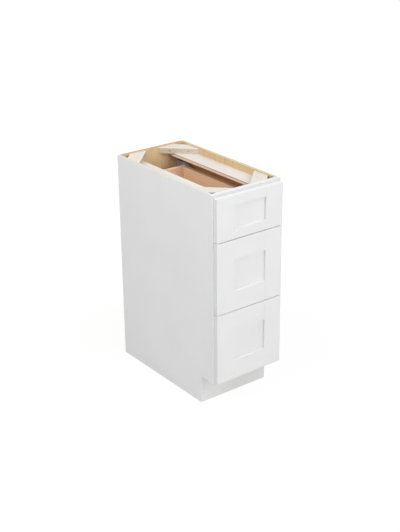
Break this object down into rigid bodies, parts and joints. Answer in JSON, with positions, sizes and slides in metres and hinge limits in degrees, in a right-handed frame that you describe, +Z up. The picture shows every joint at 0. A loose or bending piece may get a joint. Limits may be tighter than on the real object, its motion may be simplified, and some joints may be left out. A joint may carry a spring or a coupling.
{
  "type": "base cabinet with drawers",
  "caption": "Narrow white kitchen base cabinet with a face frame, a toe space, an open top and shaker-fronted drawers on side-mounted slides.",
  "frame": {"origin": "on the floor, in the middle of the outline that the carcass and the closed drawer fronts make together", "axes": "+Z up, +X to the right seen from the front, -Y out of the drawer fronts, so a drawer opens along -Y"},
  "size_m": [0.32, 0.629, 0.8763],
  "materials": {
    "painted_wood": "smooth satin white paint",
    "plywood": "clear-coated birch plywood",
    "drawer_maple": "clear-coated solid wood",
    "slide_steel": "zinc-plated sheet steel",
    "bracket_polymer": "moulded dark grey plastic",
    "screw_steel": "zinc-plated",
    "bumper_polymer": "clear soft polymer"
  },
  "bodies": {
    "cabinet": {"side_panel_left": "painted_wood", "side_panel_right": "painted_wood", "back_panel": "plywood", "bottom_panel": "plywood", "toe_board": "painted_wood", "frame_stile_left": "painted_wood", "frame_stile_right": "painted_wood", "frame_rail_top": "painted_wood", "frame_rail_upper": "painted_wood", "frame_rail_lower": "painted_wood", "frame_rail_bottom": "painted_wood", "side_board_left": "plywood", "side_board_right": "plywood", "corner_block_front_left": "plywood", "corner_block_front_right": "plywood", "corner_block_back_left": "plywood", "corner_block_back_right": "plywood", "corner_block_screws": "screw_steel", "frame_bumpers": "bumper_polymer", "slide_cabinet_members": "slide_steel", "slide_rear_brackets": "bracket_polymer"},
    "drawer_top": {"drawer_top_front_stile_left": "painted_wood", "drawer_top_front_stile_right": "painted_wood", "drawer_top_front_rail_top": "painted_wood", "drawer_top_front_rail_bottom": "painted_wood", "drawer_top_front_panel": "painted_wood", "drawer_top_box_side_left": "drawer_maple", "drawer_top_box_side_right": "drawer_maple", "drawer_top_box_front": "drawer_maple", "drawer_top_box_back": "drawer_maple", "drawer_top_box_bottom": "drawer_maple", "drawer_top_front_screws": "screw_steel", "drawer_top_slide_members": "slide_steel"},
    "slide_middles_top": {"drawer_top_slide_middles": "slide_steel"},
    "drawer_middle": {"drawer_middle_front_stile_left": "painted_wood", "drawer_middle_front_stile_right": "painted_wood", "drawer_middle_front_rail_top": "painted_wood", "drawer_middle_front_rail_bottom": "painted_wood", "drawer_middle_front_panel": "painted_wood", "drawer_middle_box_side_left": "drawer_maple", "drawer_middle_box_side_right": "drawer_maple", "drawer_middle_box_front": "drawer_maple", "drawer_middle_box_back": "drawer_maple", "drawer_middle_box_bottom": "drawer_maple", "drawer_middle_front_screws": "screw_steel", "drawer_middle_slide_members": "slide_steel"},
    "slide_middles_middle": {"drawer_middle_slide_middles": "slide_steel"},
    "drawer_bottom": {"drawer_bottom_front_stile_left": "painted_wood", "drawer_bottom_front_stile_right": "painted_wood", "drawer_bottom_front_rail_top": "painted_wood", "drawer_bottom_front_rail_bottom": "painted_wood", "drawer_bottom_front_panel": "painted_wood", "drawer_bottom_box_side_left": "drawer_maple", "drawer_bottom_box_side_right": "drawer_maple", "drawer_bottom_box_front": "drawer_maple", "drawer_bottom_box_back": "drawer_maple", "drawer_bottom_box_bottom": "drawer_maple", "drawer_bottom_front_screws": "screw_steel", "drawer_bottom_slide_members": "slide_steel"},
    "slide_middles_bottom": {"drawer_bottom_slide_middles": "slide_steel"}
  },
  "joints": [
    {"name": "drawer_top_slide", "type": "slide", "parent": "cabinet", "child": "drawer_top", "axis": [0, -1, 0], "range_m": [0, 0.508]},
    {"name": "slide_middles_top_travel", "type": "slide", "parent": "cabinet", "child": "slide_middles_top", "axis": [0, -1, 0], "range_m": [0, 0.254]},
    {"name": "drawer_middle_slide", "type": "slide", "parent": "cabinet", "child": "drawer_middle", "axis": [0, -1, 0], "range_m": [0, 0.508]},
    {"name": "slide_middles_middle_travel", "type": "slide", "parent": "cabinet", "child": "slide_middles_middle", "axis": [0, -1, 0], "range_m": [0, 0.254]},
    {"name": "drawer_bottom_slide", "type": "slide", "parent": "cabinet", "child": "drawer_bottom", "axis": [0, -1, 0], "range_m": [0, 0.508]},
    {"name": "slide_middles_bottom_travel", "type": "slide", "parent": "cabinet", "child": "slide_middles_bottom", "axis": [0, -1, 0], "range_m": [0, 0.254]}
  ],
  "couplings": [
    {"joint": "slide_middles_top_travel", "follows": "drawer_top_slide", "ratio": 0.5},
    {"joint": "slide_middles_middle_travel", "follows": "drawer_middle_slide", "ratio": 0.5},
    {"joint": "slide_middles_bottom_travel", "follows": "drawer_bottom_slide", "ratio": 0.5}
  ]
}
